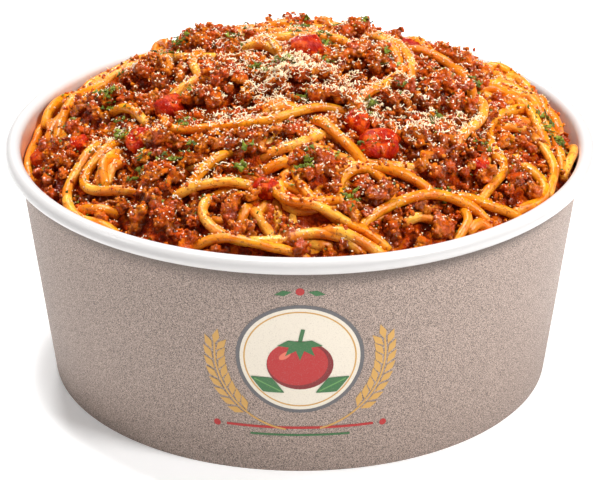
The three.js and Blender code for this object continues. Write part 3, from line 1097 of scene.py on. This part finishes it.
class BOLOGNESE_OT_badge(bpy.types.Operator):
    """Print the badge on the front: a tomato in a ring between two ears of wheat"""
    bl_idname = "bolognese.badge"
    bl_label = "Printed Badge"

    def execute(self, context):
        sheet = Sheet()
        sheet.disc(0, 0, (25, 25), "cream", 0)
        sheet.arc(12.5, 0.8, 0, 360, "grey", 1)
        sheet.arc(11.2, 0.3, 0, 360, "ochre", 1)
        self.add_tomato(sheet)
        for side in (-1, 1):
            self.add_wheat(sheet, side)
            sheet.disc(side * 17.6, -16.6, (1.5, 1.5), "red", 1)
        sheet.bar(0, -16.6, 31, 0.6, "red", 1)
        sheet.bar(0, -18.4, 21, 0.5, "green", 1)
        sheet.disc(0, 16.0, (1.7, 1.7), "red", 1)
        for side in (-1, 1):
            sheet.disc(side * 3.2, 15.6, (3.4, 1.3), "green", 1, turn=side * -12, point=0.8)
        material, tree, shader = new_material("badge_ink", Roughness=0.55)
        fibre = mask_node(tree, noise_node(tree, object_coordinates(tree), 3400.0, 2.0, 0.7), 0.5, 0.75)
        paint(tree, shader, mix_node(tree, math_node(tree, "MULTIPLY", fibre, 0.3),
                                     attribute(tree, "ink", "Color"),
                                     context.scene.bolognese_bowl.board_colour))
        add_piece("printed_badge", sheet.wrapped("printed_badge"), [material], ["bowl"])
        return {"FINISHED"}

    def add_tomato(self, sheet):
        """A round tomato with its calyx, stalk and two leaves."""
        sheet.disc(0, -1.4, (13.4, 11.6), "deep", 2)
        sheet.disc(-0.5, -1.0, (12.2, 10.4), "red", 3)
        sheet.disc(-3.0, 0.9, (2.8, 1.4), "light", 4, turn=38)
        for angle in (-12, -50, -90, -130, -168):
            lean = math.radians(angle)
            sheet.disc(2.2 * math.cos(lean), 4.1 + 1.9 * math.sin(lean), (4.8, 1.7), "green", 5,
                       turn=angle, point=0.85)
        sheet.bar(0.3, 5.7, 3.0, 0.8, "green", 5, turn=78)
        for side in (-1, 1):
            sheet.disc(side * 6.6, -6.2, (7.6, 3.8), "green", 6, turn=side * 28, point=0.75)
            sheet.bar(side * 6.6, -6.2, 6.0, 0.28, "leaf", 7, turn=side * 28)

    def add_wheat(self, sheet, side):
        """An ear of wheat that bends up round the ring, at the left (-1) or the right (1)."""
        reach, bottom = 17.3, 272
        sheet.arc(reach, 0.4, bottom + side * 12, bottom + side * 100, "ochre", 1)
        for step in range(8):
            angle = bottom + side * (48 + step * 7.5)
            lean = math.radians(angle)
            for out in (-1, 1):
                radius = reach + 1.35 * out
                sheet.disc(radius * math.cos(lean), radius * math.sin(lean), (3.6, 1.5), "ochre", 2,
                           turn=angle + 90 - side * out * 30, point=0.75)
        tip = math.radians(bottom + side * 106)
        sheet.disc(reach * math.cos(tip), reach * math.sin(tip), (3.8, 1.5), "ochre", 2,
                   turn=math.degrees(tip) + 90, point=0.75)


class BOLOGNESE_OT_sauce_bed(bpy.types.Operator):
    """Pour the sauce that fills the bowl and the gaps of the pile"""
    bl_idname = "bolognese.sauce_bed"
    bl_label = "Sauce Bed"
    RINGS, STEPS = 90, 300

    def execute(self, context):
        floor = FLOOR_TOP + 0.2
        level = pile.level(3.5)
        profile = [(0, floor), (wall_radius(floor) - BOARD - 0.2, floor)]
        for ring in range(self.RINGS + 1):
            radius = (HEAP_RADIUS - 0.05) * (1 - ring / self.RINGS)
            profile.append((radius, heap_height(radius, 0) - SAUCE_DEPTH))
        shape = spun(profile, self.STEPS)
        for vert in shape.verts:
            if vert.co.z > floor + 1:
                place = vert.co * 0.28
                ripple = 0.5 * noise.noise(place) + 0.3 * noise.noise(place * 2.7)
                film = level[pile.cell(vert.co.x, vert.co.y)] - SAUCE_FILM
                z = max(heap_height(vert.co.x, vert.co.y) - SAUCE_DEPTH, film) + ripple
                vert.co = (*inside_wall(vert.co.x, vert.co.y, z, WALL_GAP), z)
        material = tomato_sauce(context.scene.bolognese_sauce)
        add_piece("sauce_bed", mesh_from(shape, "sauce_bed"), [material], ["spaghetti"])
        return {"FINISHED"}


class BOLOGNESE_OT_loose_strands(bpy.types.Operator):
    """Fill the heap with loose strands that lie across each other"""
    bl_idname = "bolognese.loose_strands"
    bl_label = "Loose Strands"

    def execute(self, context):
        settings = context.scene.bolognese_pasta
        rng = random.Random(11)
        radius = settings.diameter / 2
        routes = []
        for _ in range(settings.loose_strands):
            plan = wandering_plan(rng, 1.25)
            routes.append(lay_strand(plan, radius, 0.9, 2.5))
        mesh = strands_mesh("loose_strands", routes, radius, rng, 2)
        add_piece("loose_strands", mesh, [pasta_material(context)], ["spaghetti"])
        return {"FINISHED"}


def pasta_material(context):
    """The strands' finish, made once."""
    return bpy.data.materials.get("cooked_pasta") or cooked_pasta(context.scene.bolognese_pasta)


class BOLOGNESE_OT_tomato(bpy.types.Operator):
    """Set the diced tomato on the heap"""
    bl_idname = "bolognese.tomato"
    bl_label = "Diced Tomato"

    def execute(self, context):
        rng = random.Random(23)
        noise.seed_set(23)     # without it noise_vector differs from run to run
        whole = bmesh.new()
        for index, (x, y, length, width, height, turn) in enumerate(TOMATOES):
            shape = bmesh.new()
            bmesh.ops.create_icosphere(shape, subdivisions=4, radius=1)
            offset = Vector((index * 5.1, 0, 0))
            for vert in shape.verts:
                reach = sum(abs(value) ** 4 for value in vert.co) ** 0.25
                vert.co *= (1 + 0.22 * noise.noise(vert.co * 1.1 + offset)) / reach ** 0.8
                vert.co += 0.16 * noise.noise_vector(vert.co * 1.6 + offset)
                vert.co *= 1 + 0.07 * noise.noise(vert.co * 4 + offset)
            z = heap_height(x, y) + 0.3 + TOMATO_STAND * height - (1.0 if y > TOMATO_BACK else 0)
            normal = heap_normal(x, y)
            matrix = (Matrix.Translation(Vector((x, y, z)))
                      @ normal.to_track_quat("Z", "Y").to_matrix().to_4x4()
                      @ Matrix.Rotation(rng.uniform(-0.3, 0.3), 4, "X")
                      @ Matrix.Rotation(math.radians(turn), 4, "Z")
                      @ Matrix.Diagonal((length / 2, width / 2, height / 2, 1)))
            bmesh.ops.transform(shape, matrix=matrix, verts=shape.verts)
            pile.press(x, y, z, (length + width) / 4, height / 2)
            part = bpy.data.meshes.new("chunk")
            shape.to_mesh(part)
            shape.free()
            whole.from_mesh(part)
            bpy.data.meshes.remove(part)
        mesh = mesh_from(whole, "diced_tomato")
        material = tomato_flesh(context.scene.bolognese_topping)
        add_piece("diced_tomato", mesh, [material], TOMATO_NODES)
        return {"FINISHED"}


def near_tomato(x, y, margin):
    """Whether a plan point is on a chunk of tomato or within a margin of it."""
    return any((x - x0) ** 2 + (y - y0) ** 2 < ((length + width) / 4 + margin) ** 2
               for x0, y0, length, width, *_ in TOMATOES)


def nugget(seed, rng):
    """A lump of mince about one unit in radius: an uneven core with granules pressed into it."""
    shape = lumpy_ball(seed + 60, 2, 0.45)
    bmesh.ops.scale(shape, verts=shape.verts, vec=(0.84, 0.84, 0.84))
    for _ in range(rng.randint(8, 12)):
        away = Vector((rng.gauss(0, 1), rng.gauss(0, 1), rng.gauss(0, 0.9))).normalized()
        place = Matrix.Translation(away * rng.uniform(0.62, 0.82))
        bmesh.ops.create_icosphere(shape, subdivisions=1, radius=rng.uniform(0.2, 0.38), matrix=place)
    return template(shape)


def drop_nugget(x, y, size, limit, rng):
    """Lets one nugget fall at a plan point and settle a little; None where it can't lie."""
    if math.hypot(x, y) > HEAP_RADIUS - 0.8 * size or near_tomato(x, y, -0.8):
        return None
    z = pile.rest(x, y, size * 0.85) - 0.5 * size
    x, y = inside_wall(x, y, z, size)
    if z + size > heap_height(x, y) + limit:
        return None
    if pile.hides_strand((x, y, z + 0.2 * size), 0.85 * size + 0.6) and rng.random() > 0.03 / size:
        return None
    pile.press(x, y, z, size)
    stretch = [size * rng.uniform(*share) for share in ((0.95, 1.3), (0.85, 1.1), (0.85, 1.05))]
    return rng.randrange(NUGGET_SHAPES), turned_matrix((x, y, z), stretch, rng), rng.random(), size


class MinceSkin:
    """Turns dropped nuggets into fused pieces."""

    def add_skin(self, context, name, places, shapes, level):
        """Fuses the nuggets at those places into one piece."""
        settings = context.scene.bolognese_sauce
        mesh = fused(name, joined_copies(name, shapes, places), settings.mince_detail)
        self.roughen(mesh, places, level)
        add_piece(name, mesh, [mince_material(context)], SAUCE_NODES)

    def roughen(self, mesh, places, level):
        """Roughens the skin and keeps each nugget's tint and how far each point stands out."""
        tree = kdtree.KDTree(len(places))
        for index, place in enumerate(places):
            tree.insert(place[1].translation, index)
        tree.balance()
        shape = bmesh.new()
        shape.from_mesh(mesh)
        shape.normal_update()
        tint = shape.verts.layers.float.new("tint")
        lift = shape.verts.layers.float.new("lift")
        for vert in shape.verts:
            place = vert.co / MM
            granule = 1 - min(noise.voronoi(place * GRAINS_PER_MM)[0][0] / GRAIN_REACH, 1) ** 2
            depth = GRAIN_RELIEF * (granule - 0.5) + SLOW_RELIEF * noise.noise(place * 0.5)
            vert.co += vert.normal * depth * MM
            vert[tint] = places[tree.find(place)[1]][2]
            # How raised a point counts sets the painted shade of the mince finish: sunk points and grain
            # hollows darken.
            stand = (place.z - level[pile.cell(place.x, place.y)]) / LIFT_RANGE
            vert[lift] = min(max(stand + LIFT_LEVEL + LIFT_GRAIN * granule, 0), 1)
        shape.to_mesh(mesh)
        shape.free()
        mesh.shade_smooth()


class BOLOGNESE_OT_mince(MinceSkin, bpy.types.Operator):
    """Heap nuggets of mince between the strands and in mounds, fused into a few skins"""
    bl_idname = "bolognese.mince"
    bl_label = "Mince"
    NAMES = ("mince_front", "mince_middle_front", "mince_middle", "mince_middle_back", "mince_back")

    def execute(self, context):
        settings = context.scene.bolognese_sauce
        rng = random.Random(37)
        places = []
        for x, y in scattered(rng, settings.fill_tries // 3):
            places.append(drop_nugget(x, y, rng.uniform(2.0, 3.2), 2.0, rng))
        for x0, y0, radius in CLUMPS + MORE_CLUMPS:
            for _ in range(int(settings.nugget_density * math.pi * (radius * 1.2 / 10) ** 2)):
                share = 1.3 * rng.random() ** 0.6
                angle = rng.uniform(0, 2 * math.pi)
                x, y = x0 + radius * share * math.cos(angle), y0 + radius * share * math.sin(angle)
                size = rng.uniform(1.2, 2.0) if rng.random() < 0.35 else rng.uniform(2.2, 3.7)
                mound = MOUND_FOOT + settings.mound_height * max(1 - share * share, 0)
                places.append(drop_nugget(x, y, size, mound, rng))
        for x, y in scattered(rng, settings.fill_tries):
            places.append(drop_nugget(x, y, rng.uniform(0.9, 1.9), 2.6, rng))
        places = [place for place in places if place]
        pile.top = np.maximum(pile.top, pile.over)
        places = [place for place in places if self.shows(place)]
        shapes = [nugget(seed, rng) for seed in range(NUGGET_SHAPES)]
        places.sort(key=lambda place: place[1].translation.y)
        count = len(places) // len(self.NAMES) + 1
        level = pile.level(4.0)
        for index, name in enumerate(self.NAMES):
            self.add_skin(context, name, places[index * count:(index + 1) * count], shapes, level)
        return {"FINISHED"}

    def shows(self, place):
        """Whether a nugget isn't buried under the pile."""
        spot = place[1].translation
        part = pile.window(spot.x, spot.y, place[3])
        return bool((pile.top[part] < spot.z + 1.6 * place[3]).any())


def mince_material(context):
    """The mince's finish, made once."""
    return bpy.data.materials.get("cooked_mince") or cooked_mince(context.scene.bolognese_sauce)


class BOLOGNESE_OT_top_strands(bpy.types.Operator):
    """Lay the strands that run over the mince"""
    bl_idname = "bolognese.top_strands"
    bl_label = "Top Strands"
    BACK_BENDS = (34.0, 20.0)  # how wide the ones at the back bend by the wall, in mm
    SHORTEST = 14              # points of the shortest of those

    def execute(self, context):
        settings = context.scene.bolognese_pasta
        rng = random.Random(5)
        radius = settings.diameter / 2
        bare = pile.top.copy()
        plans = [[(point.x, point.y) for point in route_through(points, 0.9)] for points in STRANDS]
        for _ in range(settings.back_strands):
            edge = rng.choice((14, BACK_STARTS, BACK_STARTS + 6))
            plan = [point for point in wandering_plan(rng, 0.9, *self.BACK_BENDS) if point.y > edge]
            if len(plan) > self.SHORTEST:
                plans.append([(point.x, point.y) for point in plan])
        routes = [lay_strand(plan, radius, 0.7, 2.8, STRAND_LEVEL, STRAND_MOST) for plan in plans]
        pile.keep_clear(np.array([point[:] for route in routes for point in route[2:-2]]))
        pile.over, pile.top = pile.top, bare
        mesh = strands_mesh("top_strands", routes, radius, rng, 3)
        add_piece("top_strands", mesh, [pasta_material(context)], ["spaghetti"])
        return {"FINISHED"}


class BOLOGNESE_OT_fine_crumbs(bpy.types.Operator):
    """Strew small crumbs of mince over everything"""
    bl_idname = "bolognese.fine_crumbs"
    bl_label = "Fine Crumbs"

    def execute(self, context):
        settings = context.scene.bolognese_sauce
        rng = random.Random(53)
        places = []
        for _ in range(settings.fine_crumbs):
            x, y = strewn_point(rng)
            size = rng.uniform(0.3, 0.7)
            z = pile.rest(x, y, size) - 0.9 * size
            if pile.hides_strand((x, y, z), size + 0.6) and rng.random() < 0.92:
                continue
            stretch = (size * rng.uniform(0.8, 1.5), size, size * rng.uniform(0.7, 1.1))
            places.append((rng.randrange(8), turned_matrix((x, y, z), stretch, rng), rng.random()))
        templates = [template(lumpy_ball(seed + 20, 1, 0.5)) for seed in range(8)]
        mesh = joined_copies("fine_crumbs", templates, places)
        add_piece("fine_crumbs", mesh, [mince_material(context)], SAUCE_NODES)
        return {"FINISHED"}


# Plan points of the bunches of parsley that show from the front.
PARSLEY_BUNCHES = [
    (-50, 7), (-48, -3), (-34, 13), (-16, 18), (-11, -3), (-31, -38), (-27, -37), (5, -41), (1, -47),
    (12, -53), (17, -20), (23, 1), (26, -13), (33, -23), (45, 4), (45, -25), (35, -20), (-44, -12),
]


class BOLOGNESE_OT_parsley(bpy.types.Operator):
    """Strew chopped parsley"""
    bl_idname = "bolognese.parsley"
    bl_label = "Parsley"

    def execute(self, context):
        settings = context.scene.bolognese_topping
        rng = random.Random(71)
        templates = []
        for kind in range(6):
            shape = bmesh.new()
            bmesh.ops.create_circle(shape, cap_ends=True, segments=9, radius=1)
            bmesh.ops.poke(shape, faces=shape.faces)
            for vert in shape.verts:
                lobe = 1 + 0.42 * math.cos(3 * math.atan2(vert.co.y, vert.co.x) + kind)
                vert.co *= lobe * (1 + 0.3 * noise.noise(vert.co * 2 + Vector((kind * 3, 0, 0))))
                vert.co.z = 0.7 * noise.noise(vert.co * 1.5 + Vector((0, kind * 3, 0)))
            bmesh.ops.solidify(shape, geom=shape.faces, thickness=0.14)
            bmesh.ops.recalc_face_normals(shape, faces=shape.faces)
            templates.append(template(shape))
        spots = []
        for x, y in PARSLEY_BUNCHES + scattered(rng, settings.bunches):
            for _ in range(rng.randint(10, 28)):
                spots.append((x + rng.gauss(0, 1.4), y + rng.gauss(0, 1.2), rng.uniform(0.4, 0.95)))
        for x, y in scattered(rng, settings.flecks):
            spots.append((x, y, rng.uniform(0.2, 0.5)))
        places = []
        for x, y, size in spots:
            if math.hypot(x, y) > HEAP_RADIUS - 2:
                continue
            z = pile.rest(x, y, size * 0.8, 0.2) + 0.05
            stretch = (size, size * rng.uniform(0.3, 0.8), size)
            matrix = turned_matrix((x, y, z), stretch, rng, heap_normal(x, y), 0.8)
            places.append((rng.randrange(6), matrix, rng.random()))
        mesh = joined_copies("parsley", templates, places)
        material = tinted("parsley_leaf", settings.leaf_low, settings.leaf_high, 0.45, 900.0)
        add_piece("parsley", mesh, [material], [])
        return {"FINISHED"}


# Where cheese falls: x, y, spread and share of the shreds, in mm.
CHEESE_DRIFTS = [
    (0, -11, 5, 0.13), (-8, -16, 4, 0.09), (9, -13, 5, 0.08), (-16, -26, 4, 0.05),
    (16, -23, 5, 0.07),
    (30, -22, 6, 0.08), (41, -20, 4, 0.04), (-46, -19, 3, 0.03), (-10, 6, 6, 0.08), (-8, 24, 7, 0.06),
    (29, -31, 3, 0.02), (-23, -45, 3, 0.02), (0, -8, 20, 0.12), (0, 0, 40, 0.13),
]


class BOLOGNESE_OT_cheese(bpy.types.Operator):
    """Strew grated cheese, thickest over the middle, and a fine cream dust that is partly cheese and
    partly painted highlight.
    """
    bl_idname = "bolognese.cheese"
    bl_label = "Grated Cheese"

    def execute(self, context):
        settings = context.scene.bolognese_topping
        rng = random.Random(89)
        templates = [template(self.shred(kind)) for kind in range(6)]
        templates += [template(lumpy_ball(kind + 40, 1, 0.4)) for kind in range(2)]
        material = tinted("cheese", settings.cheese_low, settings.cheese_high, 0.6, 1500.0)
        places = []
        # Partly real, partly painted highlight: tiny cream grains over the mince and strands, some
        # grated cheese and some standing in for glints.
        for _ in range(settings.dust_and_glint_specks):
            x, y = rng.gauss(0, 38), rng.gauss(-8, 36)
            if math.hypot(x, y) > HEAP_RADIUS - 3:
                continue
            size = rng.uniform(0.1, 0.22)
            matrix = turned_matrix((x, y, pile.rest(x, y, 0.3) - 0.1), (size, size, size * 1.5), rng)
            places.append((rng.randint(6, 7), matrix, 0.7 * rng.random()))
        mesh = joined_copies("cheese_dust", templates, places)
        add_piece("cheese_dust", mesh, [material], [])
        places = []
        for x0, y0, spread, share in CHEESE_DRIFTS:
            for _ in range(int(settings.shreds * share)):
                x, y = x0 + rng.gauss(0, spread), y0 + rng.gauss(0, spread)
                if math.hypot(x, y) > HEAP_RADIUS - 2:
                    continue
                length = rng.uniform(0.22, 0.8)
                z = pile.rest(x, y, 0.35) - 0.12
                stretch = (length, rng.uniform(0.5, 1.1), rng.uniform(0.5, 1.1))
                matrix = turned_matrix((x, y, z), stretch, rng, heap_normal(x, y), 0.7)
                places.append((rng.randrange(6), matrix, rng.random()))
        mesh = joined_copies("grated_cheese", templates, places)
        add_piece("grated_cheese", mesh, [material], [])
        return {"FINISHED"}

    def shred(self, kind):
        """A thin curled strip, 2 mm long, 0.4 mm wide."""
        shape = bmesh.new()
        bmesh.ops.create_cube(shape, size=1)
        bmesh.ops.scale(shape, verts=shape.verts, vec=(2.0, 0.25, 0.17))
        along = [edge for edge in shape.edges if abs(edge.verts[0].co.x - edge.verts[1].co.x) > 1]
        bmesh.ops.subdivide_edges(shape, edges=along, cuts=3)
        curl = 0.35 + 0.25 * kind / 5
        for vert in shape.verts:
            vert.co.z += curl * vert.co.x ** 2 * 0.6
            vert.co.y += 0.25 * math.sin(2.2 * vert.co.x + kind)
        return shape


FLOOR_SIZE = 4000          # mm from its middle to an edge

# Square lamps: name, place and width in metres. They look at the bowl.
LAMPS = [
    ("key", (-0.15, 0.10, 1.0), 0.14), ("front", (0.75, -0.55, 0.95), 0.32),
    ("side", (-1.0, -0.2, 0.8), 0.3), ("right", (1.0, 0.25, 0.45), 0.4),
    ("back", (-0.25, 0.8, 0.85), 0.15),
]


class BOLOGNESE_OT_stage(bpy.types.Operator):
    """Set the floor, the soft lamps and the camera"""
    bl_idname = "bolognese.stage"
    bl_label = "Stage"

    def execute(self, context):
        settings = context.scene.bolognese_stage
        scene = context.scene
        scene.view_settings.view_transform = "Standard"
        shape = bmesh.new()
        bmesh.ops.create_grid(shape, x_segments=1, y_segments=1, size=FLOOR_SIZE)
        floor = linked("floor", mesh_from(shape, "floor", smooth=False))
        material, _, shader = new_material("pale_floor", Roughness=0.8)
        shader.inputs["Base Color"].default_value = (*settings.floor_colour, 1)
        shader.inputs["Emission Color"].default_value = (1, 1, 1, 1)
        shader.inputs["Emission Strength"].default_value = settings.floor_glow
        floor.data.materials.append(material)
        for name, place, size in LAMPS:
            self.add_lamp(name, place, size, getattr(settings, name + "_power"))
        self.add_camera(scene)
        world = bpy.data.worlds.new("studio")
        world.use_nodes = True
        sky = world.node_tree.nodes["Background"]
        sky.inputs["Color"].default_value = (1, 1, 1, 1)
        sky.inputs["Strength"].default_value = settings.sky
        scene.world = world
        return {"FINISHED"}

    def add_lamp(self, name, place, size, power):
        """A soft lamp at a place."""
        lamp = bpy.data.lights.new(name, "AREA")
        lamp.shape = "SQUARE"
        lamp.size = size
        lamp.energy = power
        holder = linked(name, lamp)
        holder.location = place
        look = Vector((0, 0, 0.05)) - Vector(place)
        holder.rotation_euler = look.to_track_quat("-Z", "Y").to_euler()

    def add_camera(self, scene):
        """The camera at the front, looking down at the bowl."""
        lens = bpy.data.cameras.new("camera")
        lens.lens = CAMERA_LENS
        lens.sensor_width = 36
        camera = linked("camera", lens)
        tilt = math.radians(CAMERA_ELEVATION)
        rim_centre = Vector((0, 0, RIM_TOP))
        place = rim_centre + CAMERA_DISTANCE * Vector((0, -math.cos(tilt), math.sin(tilt)))
        aim = Vector((0, 0, CAMERA_AIM_HEIGHT))
        camera.location = place * MM
        camera.rotation_euler = (aim - place).to_track_quat("-Z", "Y").to_euler()
        scene.camera = camera


OPERATORS = (
    BOLOGNESE_OT_stage, BOLOGNESE_OT_bowl, BOLOGNESE_OT_badge, BOLOGNESE_OT_loose_strands,
    BOLOGNESE_OT_tomato, BOLOGNESE_OT_top_strands, BOLOGNESE_OT_mince, BOLOGNESE_OT_sauce_bed,
    BOLOGNESE_OT_fine_crumbs, BOLOGNESE_OT_parsley, BOLOGNESE_OT_cheese,
)
SETTINGS = {
    "bolognese_bowl": BowlSettings, "bolognese_pasta": PastaSettings, "bolognese_sauce": SauceSettings,
    "bolognese_topping": ToppingSettings, "bolognese_stage": StageSettings,
}


class BOLOGNESE_PT_panel(bpy.types.Panel):
    """Lists the pieces and their settings"""
    bl_idname = "BOLOGNESE_PT_panel"
    bl_label = "Spaghetti Bolognese"
    bl_space_type = "VIEW_3D"
    bl_region_type = "UI"
    bl_category = "Bolognese"

    def draw(self, context):
        """A button for each piece and a box for each group of settings."""
        for operator in OPERATORS:
            self.layout.operator(operator.bl_idname)
        for name, group in SETTINGS.items():
            box = self.layout.box()
            for field in group.__annotations__:
                box.prop(getattr(context.scene, name), field)


def register():
    for item in (*SETTINGS.values(), *OPERATORS, BOLOGNESE_PT_panel):
        bpy.utils.register_class(item)
    for name, group in SETTINGS.items():
        setattr(bpy.types.Scene, name, bpy.props.PointerProperty(type=group))


def unregister():
    for name in SETTINGS:
        delattr(bpy.types.Scene, name)
    for item in reversed((*SETTINGS.values(), *OPERATORS, BOLOGNESE_PT_panel)):
        bpy.utils.unregister_class(item)


def main():
    register()
    bpy.ops.bolognese.stage()
    bpy.ops.bolognese.bowl()
    bpy.ops.bolognese.badge()
    bpy.ops.bolognese.loose_strands()
    bpy.ops.bolognese.tomato()
    bpy.ops.bolognese.top_strands()
    bpy.ops.bolognese.mince()
    bpy.ops.bolognese.sauce_bed()
    bpy.ops.bolognese.fine_crumbs()
    bpy.ops.bolognese.parsley()
    bpy.ops.bolognese.cheese()


if __name__ == "__main__":
    main()
